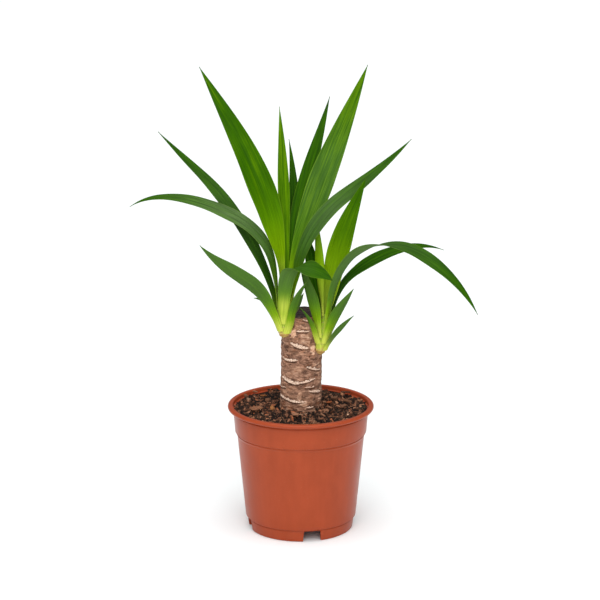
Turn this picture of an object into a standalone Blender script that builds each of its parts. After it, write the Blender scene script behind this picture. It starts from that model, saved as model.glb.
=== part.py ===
"""A potted yucca: a sawn-off cane with two leafy shoots, in a round plastic nursery pot.

Metres, +Z up. The origin is on the pot's axis, at the level of the surface that it stands on. The
shoots grow on the -Y side of the cane. Sizes below are in millimetres, and mesh_object() turns them
into metres. Bearings are degrees round +Z from +X, so 90 is +Y and 270 is -Y.
"""

import math
from collections import namedtuple

import bpy
import numpy as np

MM = 0.001
GAP = 0.3                   # clearance between pieces that rest on each other
SEGMENTS = 72               # round the pot and the soil
CANE_SEGMENTS = 40
STEM_SEGMENTS = 20
DRAIN_SEGMENTS = 12

# Pot: foot ring, tapering wall, collar and rolled rim, all as outer radii and heights.
POT_HEIGHT = 126.2
RIM_RADIUS = 72.5
RIM_DEPTH = 4.0
RIM_INNER_RADIUS = 68.4
RIM_LIP = 1.2               # rounding of the rim's inner edge
COLLAR_TOP_RADIUS = 67.2
COLLAR_FOOT_RADIUS = 65.3
COLLAR_FOOT = 99.3
COLLAR_EDGE = 0.7           # step back under the collar
WALL_TOP_RADIUS = 63.3
WALL_TOP = 95.8
WALL_FOOT_RADIUS = 55.1
WALL_FOOT = 12.4
FOOT_TOP_RADIUS = 53.4
FOOT_HEIGHT = 11.2
FOOT_RADIUS = 51.7
FOOT_ROUNDING = 1.2
WALL = 1.5
FLOOR_TOP = 12.8

# Drainage: notches through the foot ring, and a hole in the floor above each.
NOTCH_COUNT = 4
NOTCH_FIRST_BEARING = 282.5
NOTCH_TOP_WIDTH = 17.0
NOTCH_BOTTOM_WIDTH = 18.4
NOTCH_HEIGHT = 11.0
NOTCH_REACH = (44.0, 60.0)  # inside and outside the foot ring, as distances from the axis
CUT_PAST = 2.0              # how far a cutter runs past a face
DRAIN_RADIUS = 4.5
DRAIN_DISTANCE = 42.0

# Soil: its level at the pot's wall and at the cane.
SOIL_EDGE = 117.8
SOIL_CROWN = 124.6
SOIL_CURVE = 1.2            # above 1, the soil rises more steeply close to the cane
SOIL_STEPS = 5

# Cane: it stands upright in the soil, and leans and thins a little above it.
CANE_RADIUS = 20.4
CANE_TOP_RADIUS = 19.7
CANE_BOTTOM = 48.0
CANE_TOP = 218.2
CANE_LEAN = 1.3
CANE_CHAMFER = 1.8          # at the sawn edge, under the seal
CANE_LEVELS = 10
SEAL_TOP = 220.6
SEAL_SKIRT = 3.6
SEAL_THICKNESS = 0.9
SEAL_DOME = 4.0             # width of the cap's sloping edge

# Shoots: a fleshy stem each, from a pointed heel against the cane to a blunt growing tip.
Shoot = namedtuple("Shoot", "x y level lean_x lean_y size length")
LEFT = Shoot(x=-16.2, y=-19.6, level=207.0, lean_x=0.0, lean_y=0.0, size=1.0, length=36.0)
RIGHT = Shoot(x=20.0, y=-17.2, level=189.0, lean_x=0.10, lean_y=0.0, size=0.9, length=34.0)
STEM_OUTLINE = ((-7.0, 1.8), (-5.6, 4.0), (-2.5, 5.7), (3.0, 6.2), (9.0, 6.1), (17.0, 5.1), (25.0, 3.8),
                (32.0, 2.6), (36.0, 1.2))

# Leaves. height is the root's height on its stem and root its bearing there. length and width are the
# blade's, and sheath is its width where it clasps the stem. The next three are lists that run in equal
# steps from root to tip: the blade's lean from upright, the bearing that it leans to, and the bearing
# that its back turns to, after root. broad is how far along it is broadest, and fold is how tightly it
# is channelled, as one over the radius.
Leaf = namedtuple("Leaf", "name shoot height root length width sheath lean bearing face broad fold",
                  defaults=(0.5, 0.02))
LEAVES = [
    Leaf("left_leaf_01", LEFT, 30, 170, 243, 27, 8, (4, 12, 24, 31, 32),
         (60, 165, 160, 160, 160), (115, 100, 100), 0.45),
    Leaf("left_leaf_02", LEFT, 9, 155, 226, 16, 8, (6, 26, 38, 52, 51), (160, 152), (140, 135, 135)),
    Leaf("left_leaf_03", LEFT, 12, 188, 227, 15.5, 7, (2, 3, 6, 12, 30, 50, 64, 69, 75, 84, 93, 108, 125),
         (176, 162), (150, 138, 138, 140)),
    Leaf("left_leaf_04", LEFT, 0, 217, 122, 18.5, 11, (15, 27, 53, 54, 42), (200, 190), (235, 250, 250)),
    Leaf("left_leaf_05", LEFT, 3, 170, 42, 6.5, 4, (13, 15, 17, 74, 86), (198, 172), (210, 240, 250), 0.6),
    Leaf("left_leaf_06", LEFT, 21, 95, 196, 11.5, 7, (4, 9, 10, 10, 10), (70, 92, 104, 112), (90, 90), 0.6),
    Leaf("left_leaf_07", LEFT, 13, 105, 174, 13, 6, (6, 14, 18, 18, 18, 18),
         (55, 52, 68, 84, 104, 118), (90, 90)),
    Leaf("left_leaf_08", LEFT, 18, 45, 216, 18, 7, (5, 13, 22, 29, 25), (59, 54), (80, 80)),
    Leaf("left_leaf_09", LEFT, 29, 36, 242, 26, 6, (9, 20, 22, 24, 23), (36, 24, 20, 20), (65, 80, 90, 90)),
    Leaf("left_leaf_10", LEFT, 16, 340, 221, 17, 6, (11, 8, 32, 57, 56, 50),
         (345, 350, 375, 385, 385), (395, 412, 415, 415, 415)),
    Leaf("left_leaf_11", LEFT, 8, 256, 108, 19, 10, (6, 6, 7, 11, 34, 74, 100, 108, 130),
         (310, 310, 322, 345), (266, 269, 275, 292, 352, 400, 428, 435), 0.74),
    Leaf("left_leaf_12", LEFT, -2.2, 311, 58, 9.5, 11, (8, 11, 25, 36), (345, 350), (306, 312)),
    Leaf("left_leaf_13", LEFT, 9, 340, 31, 9, 5, (8, 26, 32, 26), (385, 370), (310, 300, 300)),
    Leaf("right_leaf_01", RIGHT, 28, 50, 149, 22, 7, (9, 7, 16, 22, 26), (360, 350, 340, 330), (90, 90)),
    Leaf("right_leaf_02", RIGHT, 16, 330, 239, 19, 8, (6, 11, 40, 84, 119, 136, 153), (315, 335, 350, 350),
         (330, 325, 322, 324, 348, 386, 406, 415, 420, 420)),
    Leaf("right_leaf_03", RIGHT, 12, 32, 165, 14.5, 7, (6, 17, 52, 68, 84, 114), (17, 12),
         (28, 22, 44, 42, 20)),
    Leaf("right_leaf_04", RIGHT, 5, 310, 64, 13, 10, (8, 22, 34, 34), (345, 345), (305, 295)),
    Leaf("right_leaf_05", RIGHT, -2.2, 330, 46, 7.5, 9, (14, 36, 42, 50), (345, 352), (315, 300, 290)),
    Leaf("right_leaf_06", RIGHT, 5, 222, 41, 7, 9, (8, 17, 30, 44), (190, 190), (225, 220)),
    Leaf("right_leaf_07", RIGHT, 11, 235, 77, 13, 6, (3, 12, 21, 22), (165, 158), (240, 250)),
    Leaf("right_leaf_08", RIGHT, 22, 158, 98, 16, 5, (0, 7, 14, 17, 18), (150, 128), (115, 110)),
    Leaf("right_leaf_09", RIGHT, 32, 205, 100, 10.5, 4.5, (3, 4, 3, 8, 12), (165, 110), (235, 262)),
]
LEAF_RINGS = 15
LEAF_COLUMNS = 5
LEAF_THICKNESS = 1.0
LEAF_EDGE = 0.4
TIP_WIDTH = 0.9
TIP_THICKNESS = 0.6
TAPER = 1.45                # above 1, the blade stays broad and then narrows quickly
CLASP_END = 0.3             # how far along a blade stops curling round its stem
SPINE_STEPS = 240

# Loose bits of bark on the soil: place in plan, length, width, thickness and bearing.
CHIPS = [
    (-46, 37, 7, 5, 3.5, 20),
    (-55, 24, 6, 4, 3.0, 75),
    (-37, 29, 8, 5, 3.5, 10),
    (-33, 17, 7, 5, 3.0, 120),
    (-44, -14, 13, 8, 3.5, 165),
    (-28, -13, 8, 5, 3.5, 40),
    (-5, -34, 12, 9, 4.5, 15),
    (28, 7, 8, 5, 3.5, 30),
    (34, 23, 10, 6, 3.5, 5),
    (46, 36, 11, 7, 3.5, 150),
    (42, -5, 9, 7, 3.5, 60),
    (47, 12, 12, 3, 2.5, 140),
]
CHIP_SEED = 7

COLOURS = {
    "pot": ((0.48, 0.095, 0.042), 0.38),
    "soil": ((0.035, 0.022, 0.014), 0.95),
    "cane": ((0.26, 0.16, 0.105), 0.85),
    "seal": ((0.03, 0.02, 0.02), 0.45),
    "shoot": ((0.50, 0.52, 0.10), 0.55),
    "leaf": ((0.09, 0.22, 0.02), 0.40),
    "chip": ((0.30, 0.15, 0.07), 0.85),
}


def clear_scene():
    for item in list(bpy.data.objects):
        bpy.data.objects.remove(item, do_unlink=True)


def material(name, slot):
    """A plain Principled material of its own for each piece."""
    colour, roughness = COLOURS[slot]
    made = bpy.data.materials.new(name + "_finish")
    made.use_nodes = True
    shader = made.node_tree.nodes["Principled BSDF"]
    shader.inputs["Base Color"].default_value = (*colour, 1.0)
    shader.inputs["Roughness"].default_value = roughness
    shader.inputs["Metallic"].default_value = 0.0
    made.diffuse_color = (*colour, 1.0)
    return made


def mesh_object(name, points, faces, slot, sharp=35):
    """An object from points in millimetres."""
    mesh = bpy.data.meshes.new(name)
    mesh.from_pydata([tuple(p) for p in np.asarray(points) * MM], [], faces)
    mesh.validate()
    mesh.shade_smooth()
    mesh.set_sharp_from_angle(angle=math.radians(sharp))
    made = bpy.data.objects.new(name, mesh)
    bpy.context.scene.collection.objects.link(made)
    mesh.materials.append(material(name, slot))
    return made


def loft(name, rings, slot, sharp=35):
    """One closed body through a stack of rings, each anticlockwise seen from the last one."""
    count = len(rings[0])
    points = np.concatenate(rings)
    faces = [tuple(reversed(range(count)))]
    for level in range(len(rings) - 1):
        low = level * count
        for i in range(count):
            j = (i + 1) % count
            faces.append((low + i, low + j, low + count + j, low + count + i))
    last = (len(rings) - 1) * count
    faces.append(tuple(range(last, last + count)))
    return mesh_object(name, points, faces, slot, sharp)


def ring(radius, z, x=0.0, y=0.0, segments=SEGMENTS):
    turns = np.arange(segments) * 2 * math.pi / segments
    return np.stack([x + radius * np.cos(turns), y + radius * np.sin(turns), np.full(segments, z)], axis=1)


def arc(radius, height, size, start, end, steps):
    """Points of an arc in a turned profile, as (radius, height), with angles from outwards to up."""
    angles = np.radians(np.linspace(start, end, steps + 1))
    return [(radius + size * math.cos(a), height + size * math.sin(a)) for a in angles]


def cut(piece, cutter):
    """Takes the cutter out of the piece, and leaves the cutter hidden."""
    cutter.hide_render = True
    cutter.display_type = "WIRE"
    boolean = piece.modifiers.new("cut_" + cutter.name, "BOOLEAN")
    boolean.operation = "DIFFERENCE"
    boolean.solver = "EXACT"
    boolean.object = cutter


# ---------------------------------------------------------------- pot

def inner_wall():
    """The pot's inner face from floor to rim, as (radius, height)."""
    return [
        (WALL_FOOT_RADIUS - WALL, FLOOR_TOP),
        (WALL_TOP_RADIUS - WALL, WALL_TOP),
        (COLLAR_FOOT_RADIUS - WALL, COLLAR_FOOT),
        (COLLAR_TOP_RADIUS - WALL, POT_HEIGHT - RIM_DEPTH),
    ]


def rim_profile():
    """The rolled rim, from the inner wall over the top to its outer lower edge."""
    bead = RIM_DEPTH / 2
    inner = arc(RIM_INNER_RADIUS, POT_HEIGHT - RIM_LIP, RIM_LIP, 160, 90, 3)
    outer = arc(RIM_RADIUS - bead, POT_HEIGHT - bead, bead, 90, -75, 7)
    return inner + outer


def outer_wall():
    """From under the rim down to the foot ring's lower edge."""
    corner = FOOT_RADIUS - FOOT_ROUNDING
    return [
        (COLLAR_TOP_RADIUS + 0.4, POT_HEIGHT - RIM_DEPTH),
        (COLLAR_TOP_RADIUS, POT_HEIGHT - RIM_DEPTH - 0.6),
        (COLLAR_FOOT_RADIUS, COLLAR_FOOT),
        (COLLAR_FOOT_RADIUS - COLLAR_EDGE, COLLAR_FOOT - 2 * COLLAR_EDGE),
        (WALL_TOP_RADIUS, WALL_TOP),
        (WALL_FOOT_RADIUS, WALL_FOOT),
        (FOOT_TOP_RADIUS, FOOT_HEIGHT),
    ] + arc(corner, FOOT_ROUNDING, FOOT_ROUNDING, 0, -90, 3)


def foot_inside():
    """Up the foot ring's inner face to the floor's underside."""
    inner = FOOT_RADIUS - 2 * WALL
    return [(inner, 0.0), (inner + 2 * GAP, FLOOR_TOP - WALL)]


def notch_cutter(bearing, number):
    """A block across the foot ring, a little wider at the bottom."""
    turn = math.radians(bearing)
    outwards = np.array([math.cos(turn), math.sin(turn), 0.0])
    across = np.array([-math.sin(turn), math.cos(turn), 0.0])
    near, far = NOTCH_REACH
    corners = ((near, -0.5), (far, -0.5), (far, 0.5), (near, 0.5))
    outline = [(NOTCH_BOTTOM_WIDTH, -CUT_PAST), (NOTCH_BOTTOM_WIDTH, CUT_PAST)]
    outline.append((NOTCH_TOP_WIDTH, NOTCH_HEIGHT))
    rings = []
    for width, z in outline:
        points = [outwards * reach + across * width * side for reach, side in corners]
        rings.append(np.array(points) + [0, 0, z])
    return loft(f"notch_cutter_{number}", rings, "pot")


def drain_cutter(bearing, number):
    turn = math.radians(bearing)
    x = DRAIN_DISTANCE * math.cos(turn)
    y = DRAIN_DISTANCE * math.sin(turn)
    levels = (FLOOR_TOP - WALL - CUT_PAST, FLOOR_TOP + CUT_PAST)
    rings = [ring(DRAIN_RADIUS, z, x, y, segments=DRAIN_SEGMENTS) for z in levels]
    return loft(f"drain_cutter_{number}", rings, "pot")


def make_pot():
    profile = inner_wall() + rim_profile() + outer_wall() + foot_inside()
    rings = [ring(radius, z) for radius, z in profile]
    pot = loft("pot", rings[::-1], "pot", sharp=30)
    for i in range(NOTCH_COUNT):
        bearing = NOTCH_FIRST_BEARING + i * 360 / NOTCH_COUNT
        cut(pot, notch_cutter(bearing, i + 1))
        cut(pot, drain_cutter(bearing, i + 1))


# ---------------------------------------------------------------- soil and cane

def soil_radii():
    return np.linspace(COLLAR_TOP_RADIUS - WALL - 2 * GAP, CANE_RADIUS + GAP, SOIL_STEPS + 1)


def soil_level(radius):
    """The soil's height at a distance from the pot's axis: a low dome, straight between its rings."""
    radii = soil_radii()
    rise = (radii[0] - radii) / (radii[0] - radii[-1])
    levels = SOIL_EDGE + (SOIL_CROWN - SOIL_EDGE) * rise ** SOIL_CURVE
    return float(np.interp(radius, radii[::-1], levels[::-1]))


def make_soil():
    wall = [(radius - GAP, max(z, FLOOR_TOP + GAP)) for radius, z in inner_wall()[:-1]]
    top = [(radius, soil_level(radius)) for radius in soil_radii()]
    socket = [(CANE_RADIUS + GAP, CANE_BOTTOM - GAP)]
    loft("soil", [ring(radius, z) for radius, z in wall + top + socket], "soil")


def cane_centre(z):
    return CANE_LEAN * max(0.0, z - SOIL_CROWN) / (CANE_TOP - SOIL_CROWN)


def cane_radius(z):
    above = max(0.0, z - SOIL_CROWN) / (CANE_TOP - SOIL_CROWN)
    return CANE_RADIUS + (CANE_TOP_RADIUS - CANE_RADIUS) * above


def cane_rings(levels):
    return [ring(cane_radius(z), z, cane_centre(z), segments=CANE_SEGMENTS) for z in levels]


def seat_cutter(name):
    """The cane and its seal with clearance round them, which the stems are seated against."""
    skirt = CANE_TOP - 1.2 * SEAL_SKIRT
    past_seal = 2 * GAP + SEAL_THICKNESS
    outline = [(CANE_BOTTOM, GAP), (skirt - 1, GAP), (skirt, past_seal), (SEAL_TOP + 5 * CUT_PAST, past_seal)]
    rings = [ring(cane_radius(z) + proud, z, cane_centre(z), segments=CANE_SEGMENTS) for z, proud in outline]
    return loft(name, rings, "cane")


def make_cane():
    levels = [CANE_BOTTOM] + list(np.linspace(SOIL_CROWN, CANE_TOP - CANE_CHAMFER, CANE_LEVELS))
    top = ring(CANE_TOP_RADIUS - CANE_CHAMFER, CANE_TOP, CANE_LEAN, segments=CANE_SEGMENTS)
    loft("cane", cane_rings(levels) + [top], "cane")


def make_seal():
    """A cap of sealing wax over the sawn top, with a ragged skirt down the bark."""
    turns = np.arange(CANE_SEGMENTS) * 2 * math.pi / CANE_SEGMENTS
    ragged = SEAL_SKIRT * (0.75 + 0.18 * np.sin(3 * turns + 1.0) + 0.12 * np.sin(7 * turns))
    skirt = CANE_TOP - ragged

    def level_ring(radius, levels):
        points = ring(radius, 0.0, CANE_LEAN, segments=CANE_SEGMENTS)
        points[:, 2] = levels
        return points

    inside = CANE_TOP_RADIUS + GAP
    outside = inside + SEAL_THICKNESS
    rings = [
        level_ring(inside - CANE_CHAMFER, CANE_TOP + GAP),
        level_ring(inside, CANE_TOP),
        level_ring(inside, skirt),
        level_ring(outside - GAP, skirt),
        level_ring(outside, CANE_TOP - 2 * GAP),
        level_ring(outside - SEAL_DOME / 2, SEAL_TOP - 2 * GAP),
        level_ring(outside - SEAL_DOME, SEAL_TOP),
    ]
    loft("wound_seal", rings, "seal")


# ---------------------------------------------------------------- shoots

def stem_radius(shoot, height):
    heights, radii = zip(*STEM_OUTLINE)
    return shoot.size * float(np.interp(height * heights[-1] / shoot.length, heights, radii))


def stem_point(shoot, height):
    return np.array([
        shoot.x + shoot.lean_x * height,
        shoot.y + shoot.lean_y * height,
        shoot.level + height,
    ])


def make_shoot(name, shoot):
    rings = []
    for height, radius in STEM_OUTLINE:
        z = height * shoot.length / STEM_OUTLINE[-1][0] if height > 0 else height
        centre = stem_point(shoot, z)
        rings.append(ring(radius * shoot.size, centre[2], centre[0], centre[1], segments=STEM_SEGMENTS))
    stem = loft(name, rings, "shoot", sharp=60)
    cut(stem, seat_cutter(name + "_seat_cutter"))


# ---------------------------------------------------------------- leaves

def along(values, t):
    """Values that are given in equal steps from root to tip, read at each t from 0 to 1."""
    return np.interp(t, np.linspace(0, 1, len(values)), values)


def unit(vectors):
    return vectors / np.linalg.norm(vectors, axis=-1, keepdims=True)


def leaf_spine(leaf, t):
    """Points and directions along the blade's midrib."""
    fine = np.linspace(0, 1, SPINE_STEPS + 1)
    lean = np.radians(along(leaf.lean, fine))
    bearing = np.radians(along(leaf.bearing, fine))
    outwards = np.stack([np.cos(bearing), np.sin(bearing)], axis=1)
    headings = np.column_stack([outwards * np.sin(lean)[:, None], np.cos(lean)])
    strides = (headings[1:] + headings[:-1]) / 2 * leaf.length / SPINE_STEPS
    path = np.vstack([np.zeros(3), np.cumsum(strides, axis=0)])
    turn = math.radians(leaf.root)
    reach = stem_radius(leaf.shoot, leaf.height) + GAP + LEAF_THICKNESS / 2
    start = stem_point(leaf.shoot, leaf.height) + reach * np.array([math.cos(turn), math.sin(turn), 0.0])
    points = np.stack([np.interp(t, fine, path[:, axis]) for axis in range(3)], axis=1) + start
    directions = unit(np.stack([np.interp(t, fine, headings[:, axis]) for axis in range(3)], axis=1))
    return points, directions


def leaf_width(leaf, t):
    """Half a clasping base, broadest near the middle, and a long tapering point."""
    base = leaf.sheath / leaf.width
    rise = np.clip(t / leaf.broad, 0, 1)
    rise = rise * rise * (3 - 2 * rise)
    taper = np.clip((t - leaf.broad) / (1 - leaf.broad), 0, 1)
    share = (base + (1 - base) * rise) * (1 - taper ** TAPER)
    return np.maximum(leaf.width * share, TIP_WIDTH)


def leaf_surface(leaf, t, across):
    """The blade's middle surface and its normals, for each t and each place across from -1 to 1."""
    points, directions = leaf_spine(leaf, t)
    level = unit(np.cross(directions, (0.0, 1.0, 0.0)))
    lifted = np.cross(directions, level)
    roll = np.radians(along((leaf.root, *leaf.face), t) - 90.0)[:, None]
    side = level * np.cos(roll) + lifted * np.sin(roll)
    inner = np.cross(directions, side)
    reach = stem_radius(leaf.shoot, leaf.height) + GAP + LEAF_THICKNESS / 2
    clasp = np.clip(1 - t / CLASP_END, 0, 1) ** 2
    curl = (leaf.fold + clasp / reach)[:, None]
    angle = across[None, :] * leaf_width(leaf, t)[:, None] / 2 * curl
    sideways = (np.sin(angle) / curl)[..., None]
    inwards = ((1 - np.cos(angle)) / curl)[..., None]
    surface = points[:, None, :] + side[:, None, :] * sideways + inner[:, None, :] * inwards
    normals = inner[:, None, :] * np.cos(angle)[..., None] - side[:, None, :] * np.sin(angle)[..., None]
    return surface, normals


def make_leaf(leaf):
    """A closed blade, thickest at the midrib."""
    t = np.linspace(0, 1, LEAF_RINGS)
    across = np.linspace(-1, 1, LEAF_COLUMNS)
    surface, normals = leaf_surface(leaf, t, across)
    midrib = LEAF_THICKNESS + (TIP_THICKNESS - LEAF_THICKNESS) * t
    thickness = np.maximum(midrib[:, None] * np.sqrt(1 - across ** 2), LEAF_EDGE)
    half = normals * thickness[..., None] / 2
    rings = [np.vstack([lower, upper[::-1]]) for upper, lower in zip(surface + half, surface - half)]
    loft(leaf.name, rings, "leaf", sharp=50)


# ---------------------------------------------------------------- loose bark

def chip_shape(rng):
    """An irregular flat-bottomed lump of unit size, as rings from its underside up."""
    count = 8
    turns = np.arange(count) * 2 * math.pi / count
    wobble = 1 + rng.uniform(-0.18, 0.18, count)
    rings = []
    for height, share in ((0.0, 0.72), (0.35, 1.0), (0.8, 0.78), (1.0, 0.42)):
        reach = share * wobble * (1 + rng.uniform(-0.08, 0.08, count))
        rings.append(np.stack([reach * np.cos(turns), reach * np.sin(turns), np.full(count, height)], axis=1))
    return rings


def soil_frame(x, y, bearing):
    """A place on the soil, and there the directions along, across and up."""
    radius = math.hypot(x, y)
    slope = math.atan(soil_level(radius + 1) - soil_level(radius))
    outwards = np.array([x, y, 0.0]) / radius
    downhill = outwards * math.cos(slope) + np.array([0, 0, math.sin(slope)])
    around = np.array([-outwards[1], outwards[0], 0.0])
    up = np.cross(downhill, around)
    turn = math.radians(bearing)
    first = downhill * math.cos(turn) + around * math.sin(turn)
    return np.array([x, y, soil_level(radius)]), first, np.cross(up, first), up


def make_chips():
    rng = np.random.default_rng(CHIP_SEED)
    for number, (x, y, long, wide, thick, bearing) in enumerate(CHIPS, start=1):
        place, first, second, up = soil_frame(x, y, bearing)
        sizes = np.array([first * long / 2, second * wide / 2, up * thick])
        rings = [place + up * GAP + shape @ sizes for shape in chip_shape(rng)]
        loft(f"bark_chip_{number:02d}", rings, "chip", sharp=50)


def main():
    clear_scene()
    make_pot()
    make_soil()
    make_cane()
    make_seal()
    make_shoot("left_shoot", LEFT)
    make_shoot("right_shoot", RIGHT)
    for leaf in LEAVES:
        make_leaf(leaf)
    make_chips()


main()
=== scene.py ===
"""How the potted yucca looks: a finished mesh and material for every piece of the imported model.

Sizes are millimetres in the model's frame: +Z up, the origin on the pot's axis at floor level, the
shoots on the -Y side. mesh_piece() turns them into metres. A bearing is degrees round +Z from +X, and
a turn is degrees round the cane from its front (-Y), towards +X.
"""
import math
from collections import namedtuple

import bmesh
import bpy
import numpy as np
from mathutils import Matrix, Vector, noise


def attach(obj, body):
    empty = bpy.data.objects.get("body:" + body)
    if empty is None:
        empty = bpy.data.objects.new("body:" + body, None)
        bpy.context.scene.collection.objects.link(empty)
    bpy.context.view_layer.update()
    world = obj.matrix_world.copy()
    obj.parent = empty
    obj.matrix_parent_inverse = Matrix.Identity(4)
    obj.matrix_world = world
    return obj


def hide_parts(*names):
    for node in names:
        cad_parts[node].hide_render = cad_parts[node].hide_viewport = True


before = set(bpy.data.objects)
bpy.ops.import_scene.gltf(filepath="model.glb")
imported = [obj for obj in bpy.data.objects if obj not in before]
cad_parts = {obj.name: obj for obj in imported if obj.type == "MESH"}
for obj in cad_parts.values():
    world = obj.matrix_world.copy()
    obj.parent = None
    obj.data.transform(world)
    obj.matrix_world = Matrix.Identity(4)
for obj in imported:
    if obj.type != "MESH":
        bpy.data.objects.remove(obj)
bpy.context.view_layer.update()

MM = 0.001
GAP = 0.3                     # clearance between pieces that rest on each other

# ---------------------------------------- sizes shared with the solids

POT_HEIGHT = 126.2
RIM_RADIUS = 72.5
RIM_DEPTH = 4.0
RIM_INNER_RADIUS = 68.4
RIM_LIP = 1.2
COLLAR_TOP_RADIUS = 67.2
COLLAR_FOOT_RADIUS = 65.3
COLLAR_FOOT = 99.3
WALL_TOP_RADIUS = 63.3
WALL_TOP = 95.8
WALL_FOOT_RADIUS = 55.1
WALL_FOOT = 12.4
FOOT_TOP_RADIUS = 53.4
FOOT_HEIGHT = 11.2
FOOT_RADIUS = 51.7
WALL = 1.5
FLOOR_TOP = 12.8
CREASE = 0.8                  # depth of the groove under the rim
POT_INSIDE = COLLAR_TOP_RADIUS - WALL    # inner radius under the rim
FLOOR_RING_OUTER = 24.0       # a low ring that stands out under the floor
FLOOR_RING_INNER = 21.6
HUB = 1.0                     # radius of the flat disc in the middle of a turned shape
POT_SEGMENTS = 180
POT_SHARP = 32                # degrees of bend above which an edge of the pot stays sharp

NOTCH_COUNT = 4
NOTCH_FIRST_BEARING = 282.5
NOTCH_TOP_WIDTH = 17.0
NOTCH_BOTTOM_WIDTH = 18.4
NOTCH_HEIGHT = 11.0
NOTCH_CORNER = 1.0            # height of a notch's cut-off top corners
NOTCH_REACH = (44.0, 60.0)
DRAIN_RADIUS = 4.5
DRAIN_DISTANCE = 42.0
DRAIN_SEGMENTS = 40
CUT_PAST = 2.0                # how far a cutter goes on past a face

SOIL_EDGE = 117.8
SOIL_CROWN = 124.6
SOIL_CURVE = 1.2

CANE_RADIUS = 20.4
CANE_TOP_RADIUS = 19.7
CANE_BOTTOM = 48.0
CANE_TOP = 218.2
CANE_LEAN = 1.3
SEAL_TOP = 220.6

# ---------------------------------------- shoots and leaves

Shoot = namedtuple("Shoot", "x y level lean_x size length")
LEFT = Shoot(x=-16.2, y=-19.6, level=207.0, lean_x=0.0, size=1.0, length=36.0)
RIGHT = Shoot(x=20.0, y=-17.2, level=189.0, lean_x=0.10, size=0.9, length=34.0)
# A stem's (height, radius) from its heel to its tip, for a shoot of size 1.
STEM_OUTLINE = ((-7.0, 1.8), (-5.6, 4.0), (-2.5, 5.7), (3.0, 6.2), (9.0, 6.1), (17.0, 5.1), (25.0, 3.8),
                (32.0, 2.6), (36.0, 1.2))

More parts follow.
